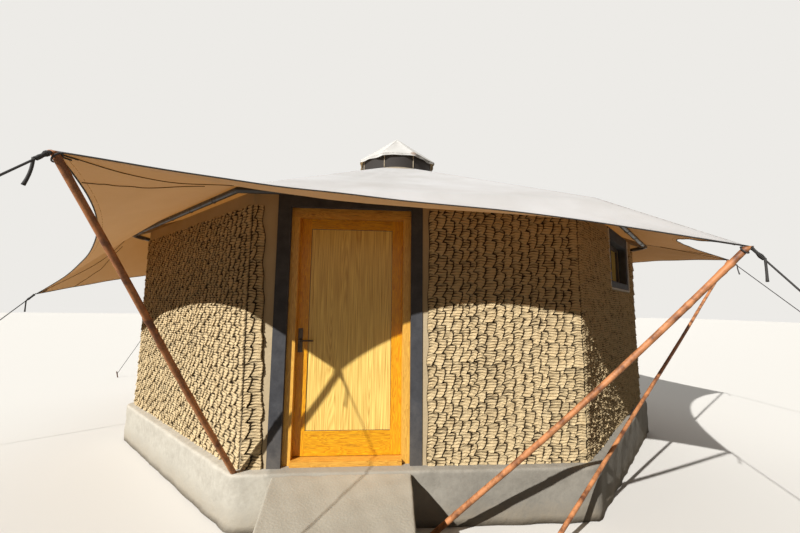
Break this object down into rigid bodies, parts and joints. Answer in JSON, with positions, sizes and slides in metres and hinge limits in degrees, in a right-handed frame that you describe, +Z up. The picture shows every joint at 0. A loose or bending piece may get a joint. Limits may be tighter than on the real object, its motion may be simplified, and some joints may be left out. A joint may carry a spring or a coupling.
{
  "type": "octagonal mud-walled tent-roofed chalet",
  "caption": "Octagonal chalet of hand-pressed mud walls under a canvas tent roof with a scalloped overhang, held by poles and guy ropes, with a vent on top and a timber door.",
  "frame": {"origin": "middle of the octagonal plinth's bottom face, on the ground", "axes": "+Z up, the door faces -Y, +X to the right of someone who faces the door"},
  "size_m": [12.9432, 13.5137, 4.81],
  "materials": {
    "cement_plaster": "rough lime-washed cement",
    "cement_floor": "trowelled cement",
    "concrete": "worn concrete",
    "mud_plaster": "hand-pressed mud plaster",
    "charcoal_plaster": "matte charcoal paint on plaster",
    "dark_timber": "dark stained timber",
    "window_glass": "clear",
    "varnished_pine": "varnished",
    "door_veneer": "striped veneer, satin varnish",
    "bronzed_steel": "dark bronzed",
    "black_steel": "black paint",
    "pale_timber": "raw",
    "vent_mesh": "dark insect mesh",
    "tent_canvas": "heavy cotton canvas",
    "peeled_pole": "peeled, weathered",
    "black_rope": "braided rope",
    "peg_steel": "rusty steel"
  },
  "bodies": {
    "house": {"plinth": "cement_plaster", "floor_slab": "cement_floor", "door_step": "concrete", "door_surround": "charcoal_plaster", "window_surrounds": "charcoal_plaster", "window_frames": "dark_timber", "window_panes": "window_glass", "door_jambs": "varnished_pine", "door_head": "varnished_pine", "door_threshold": "varnished_pine", "hinge_pins": "bronzed_steel", "eave_rail": "black_steel", "hip_rafters": "black_steel", "crown_ring": "black_steel", "vent_posts": "pale_timber", "vent_screen": "vent_mesh", "vent_cap": "tent_canvas", "front_pole_left": "peeled_pole", "front_pole_right": "peeled_pole", "side_pole_right": "peeled_pole", "rear_poles": "peeled_pole", "guy_ropes": "black_rope", "ground_pegs": "peg_steel", "front_wall_left": "mud_plaster", "front_wall_right": "mud_plaster", "front_wall_head": "mud_plaster", "right_front_wall": "mud_plaster", "right_wall": "mud_plaster", "right_rear_wall": "mud_plaster", "rear_wall": "mud_plaster", "left_rear_wall": "mud_plaster", "left_wall": "mud_plaster", "left_front_wall": "mud_plaster", "roof_canvas_right_front": "tent_canvas", "roof_canvas_right": "tent_canvas", "roof_canvas_right_rear": "tent_canvas", "roof_canvas_rear": "tent_canvas", "roof_canvas_left_rear": "tent_canvas", "roof_canvas_left": "tent_canvas", "roof_canvas_left_front": "tent_canvas", "roof_canvas_front": "tent_canvas"},
    "door": {"door_stiles": "varnished_pine", "door_rails": "varnished_pine", "door_panel": "door_veneer", "lock_plates": "bronzed_steel", "hinge_knuckles": "bronzed_steel"},
    "lever": {"door_lever": "bronzed_steel"}
  },
  "joints": [
    {"name": "door_swing", "type": "hinge", "parent": "house", "child": "door", "pos_m": [-0.1315, -3.254, 1.46], "axis": [0, 0, -1], "range_deg": [0, 90]},
    {"name": "lever_turn", "type": "hinge", "parent": "door", "child": "lever", "pos_m": [-1.004, -3.281, 1.403], "axis": [0, 1, 0], "range_deg": [0, 40], "stiffness_Nm_per_rad": 1, "springref_deg": -20.05}
  ]
}
